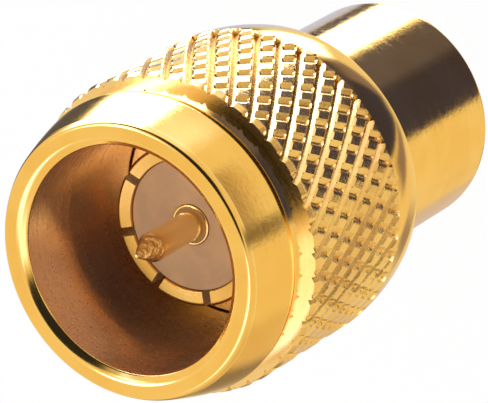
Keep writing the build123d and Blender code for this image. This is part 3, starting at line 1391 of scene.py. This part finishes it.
def dress_hidden_nodes(effects: Effects) -> None:
    """Gives the nodes that the housing hides their own materials.

    Args:
        effects: The shared effect groups.
    """
    tin = MattFinish("cap_tin", 0.32, tint=(0.72, 0.71, 0.68), deep_tint=(0.60, 0.59, 0.56), metallic=1.0,
                     line_depth=0.4, grain_depth=0.6).build(effects)
    bronze = MattFinish("ring_bronze", 0.30, tint=(0.76, 0.46, 0.24), deep_tint=(0.62, 0.34, 0.16),
                        metallic=1.0)
    brass = MattFinish("insert_brass", 0.28, tint=(0.83, 0.62, 0.27), deep_tint=(0.70, 0.50, 0.20),
                       metallic=1.0)
    ceramic = MattFinish("rod_ceramic", 0.62, tint=(0.86, 0.84, 0.80), deep_tint=(0.78, 0.76, 0.71))
    materials = {
        "retaining_ring": bronze.build(effects),
        "taper_insert": brass.build(effects),
        "resistor_rod": ceramic.build(effects),
        "resistor_front_cap": tin,
        "resistor_rear_cap": tin,
    }
    for node, material in materials.items():
        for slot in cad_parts[node].material_slots:
            slot.material = material
        log.info("%s keeps its shape, with %s", node, material.name)


# ---- Studio


@dataclass(frozen=True)
class Card:
    """A patch of the studio round the object, seen only in its reflections.

    Its turn is in degrees from the camera's side and its tilt in degrees from the axis, each from
    one edge to the other. Its edges are soft over some degrees.
    """

    light: Colour
    turn: tuple[float, float]
    tilt: tuple[float, float]
    soft: float = 5.0


@dataclass
class Studio:
    """White floor, even soft light, and the cards and softboxes that the metal mirrors.

    Where cards overlap, the later one covers the earlier. The camera's turn is in degrees.
    """

    camera_turn: float = -90.0
    fill: Colour = (0.93, 0.73, 0.36)
    even_light: Colour = (0.95, 0.95, 0.95)
    backdrop: Colour = (1.0, 1.0, 1.0)
    paper: Colour = (0.8, 0.8, 0.8)
    paper_roughness: float = 0.9
    floor_reach: float = 0.6
    floor_glow: float = 0.97
    key_size: float = 0.25
    key_energy: float = 0.12
    key_place: tuple[float, float, float] = (-0.12, -0.10, 0.30)
    cards: tuple[Card, ...] = (
        # Round the sides and below, which the upright walls, the knurl and the shoulder mirror
        Card((0.80, 0.58, 0.27), (-152.0, -84.0), (98.0, 134.0), 8.0),
        Card((0.28, 0.21, 0.13), (-165.0, -122.0), (120.0, 139.0), 9.0),
        Card((0.64, 0.55, 0.58), (-176.0, -126.0), (140.0, 147.0), 5.0),
        Card((0.38, 0.29, 0.20), (-140.0, -104.0), (149.0, 158.0), 4.0),
        Card((6.0, 6.0, 6.0), (74.0, 120.0), (84.0, 158.0), 4.0),
        Card((1.3, 1.15, 0.95), (42.0, 72.0), (84.0, 122.0), 7.0),
        Card((0.62, 0.66, 0.90), (136.0, 176.0), (141.0, 152.0), 5.0),
        Card((0.44, 0.31, 0.18), (-28.0, 20.0), (98.0, 113.0), 5.0),
        Card((0.055, 0.05, 0.09), (-35.0, 66.0), (130.0, 177.0), 4.0),
        Card((0.15, 0.13, 0.17), (22.0, 64.0), (137.0, 150.0), 8.0),
        Card((0.30, 0.22, 0.20), (-74.0, -42.0), (155.0, 177.0), 5.0),
        Card((0.26, 0.20, 0.18), (42.0, 76.0), (156.0, 177.0), 5.0),
        Card((0.11, 0.10, 0.10), (126.0, 172.0), (117.0, 140.0), 4.0),
        Card((0.10, 0.09, 0.11), (116.0, 136.0), (138.0, 149.0), 3.0),
        Card((0.25, 0.18, 0.10), (-31.0, -20.0), (84.0, 123.0), 4.0),
        # Over the mouth, which its faces and, after two reflections, its bore mirror
        Card((0.02, 0.02, 0.02), (-34.0, 76.0), (6.0, 62.0), 6.0),
        Card((0.03, 0.02, 0.02), (8.0, 96.0), (52.0, 76.0), 6.0),
        Card((2.6, 2.6, 2.6), (88.0, 108.0), (42.0, 54.0), 4.0),
        Card((6.0, 6.0, 6.0), (116.0, 140.0), (25.0, 44.0), 5.0),
        Card((1.7, 1.7, 1.8), (-150.0, -48.0), (25.0, 50.0), 6.0),
    )

    def build_world(self) -> None:
        """Builds the world that lights the object and that the metal mirrors."""
        world = bpy.data.worlds.new("studio")
        bpy.context.scene.world = world
        world.use_nodes = True
        graph = Graph(world.node_tree)
        east, north, up = graph.parts(graph.add("ShaderNodeTexCoord").outputs["Generated"])
        tilt = graph.calc("DEGREES", graph.calc("ARCCOSINE", up))
        turn = graph.calc("DEGREES", graph.calc("ARCTAN2", north, east))
        turn = graph.calc("WRAP", graph.minus(turn, self.camera_turn), 180.0, -180.0)
        light: Value = self.fill
        for card in self.cards:
            mask: Value = 1.0
            for value, (low, high) in ((turn, card.turn), (tilt, card.tilt)):
                mask = graph.times(mask, graph.ramp(value, low - card.soft, low + card.soft))
                mask = graph.times(mask, graph.ramp(value, high + card.soft, high - card.soft))
            light = graph.mix(mask, light, card.light)
        path = graph.add("ShaderNodeLightPath")
        light = graph.mix(path.outputs["Is Diffuse Ray"], light, self.even_light)
        light = graph.mix(path.outputs["Is Camera Ray"], light, self.backdrop)
        back = graph.add("ShaderNodeBackground", {"Color": light})
        graph.add("ShaderNodeOutputWorld", {"Surface": back.outputs[0]})

    def build_floor(self) -> None:
        """Lays the white floor, which keeps a faint shadow."""
        mesh = bpy.data.meshes.new("floor")
        reach = self.floor_reach
        corners = [(-reach, -reach, 0), (reach, -reach, 0), (reach, reach, 0), (-reach, reach, 0)]
        mesh.from_pydata(corners, [], [[0, 1, 2, 3]])
        floor = placed(mesh)
        floor.visible_glossy = False
        material = bpy.data.materials.new("floor_paper")
        material.use_nodes = True
        graph = Graph(material.node_tree)
        paper = graph.add("ShaderNodeBsdfPrincipled", {
            "Base Color": self.paper, "Roughness": self.paper_roughness})
        glow = graph.add("ShaderNodeEmission")
        both = graph.add("ShaderNodeMixShader", {0: self.floor_glow, 1: paper.outputs[0], 2: glow.outputs[0]})
        graph.add("ShaderNodeOutputMaterial", {"Surface": both.outputs[0]})
        mesh.materials.append(material)

    def build_key(self) -> None:
        """Hangs a broad soft lamp over the object, which only matt surfaces and the floor show."""
        lamp = bpy.data.lights.new("key_softbox", "AREA")
        lamp.shape, lamp.size, lamp.energy = "DISK", self.key_size, self.key_energy
        thing = bpy.data.objects.new("key_softbox", lamp)
        thing.location = self.key_place
        thing.rotation_euler = (-Vector(self.key_place)).to_track_quat("-Z", "Y").to_euler()
        thing.visible_glossy = False
        bpy.context.scene.collection.objects.link(thing)


@dataclass(frozen=True)
class PhotoCamera:
    """The photograph's camera, looking at the middle of the mouth and rolled on its own axis.

    Its clip distances are in metres.
    """

    mouth: float = 15.65
    distance: float = 130.0
    tilt: float = 36.733
    roll: float = 239.880
    across: float = 3.480
    up: float = 1.793
    focal_pixels: float = 4441.2
    sensor_width: float = 36.0
    clip: tuple[float, float] = (0.005, 10.0)

    def towards_camera(self) -> Vector:
        """Direction from the object to the camera."""
        tilt = math.radians(self.tilt)
        return Vector((0.0, -math.sin(tilt), math.cos(tilt)))

    def build(self) -> None:
        """Places the camera and makes it the scene's own."""
        back = self.towards_camera()
        level = Vector((1.0, 0.0, 0.0))
        plumb = back.cross(level)
        roll = math.radians(self.roll)
        right = level * math.cos(roll) + plumb * math.sin(roll)
        above = plumb * math.cos(roll) - level * math.sin(roll)
        place = Vector((0, 0, self.mouth)) + back * self.distance + right * self.across + above * self.up
        lens = bpy.data.cameras.new("photo_camera")
        lens.sensor_width = self.sensor_width
        lens.lens = self.focal_pixels / PHOTO_WIDTH * self.sensor_width
        lens.clip_start, lens.clip_end = self.clip
        camera = bpy.data.objects.new("photo_camera", lens)
        turn = Matrix((right, above, back)).transposed().to_4x4()
        camera.matrix_world = Matrix.Translation(place * MM) @ turn
        bpy.context.scene.collection.objects.link(camera)
        bpy.context.scene.camera = camera


def main() -> None:
    """Builds the scene in order."""
    logging.basicConfig(level=logging.INFO, format="%(message)s")
    bpy.context.scene.view_settings.view_transform = "Standard"
    for name in ("Cube", "Light", "Camera"):
        if name in bpy.data.objects:
            bpy.data.objects.remove(bpy.data.objects[name])
    PhotoCamera().build()
    studio = Studio()
    studio.build_world()
    studio.build_floor()
    studio.build_key()
    effects = Effects()
    for piece in (CouplingSleeve, OuterContact, FrontHub, InsulatingBead, ContactPin, RearCup):
        piece(effects).build()
    dress_hidden_nodes(effects)


if __name__ == "__main__":
    main()
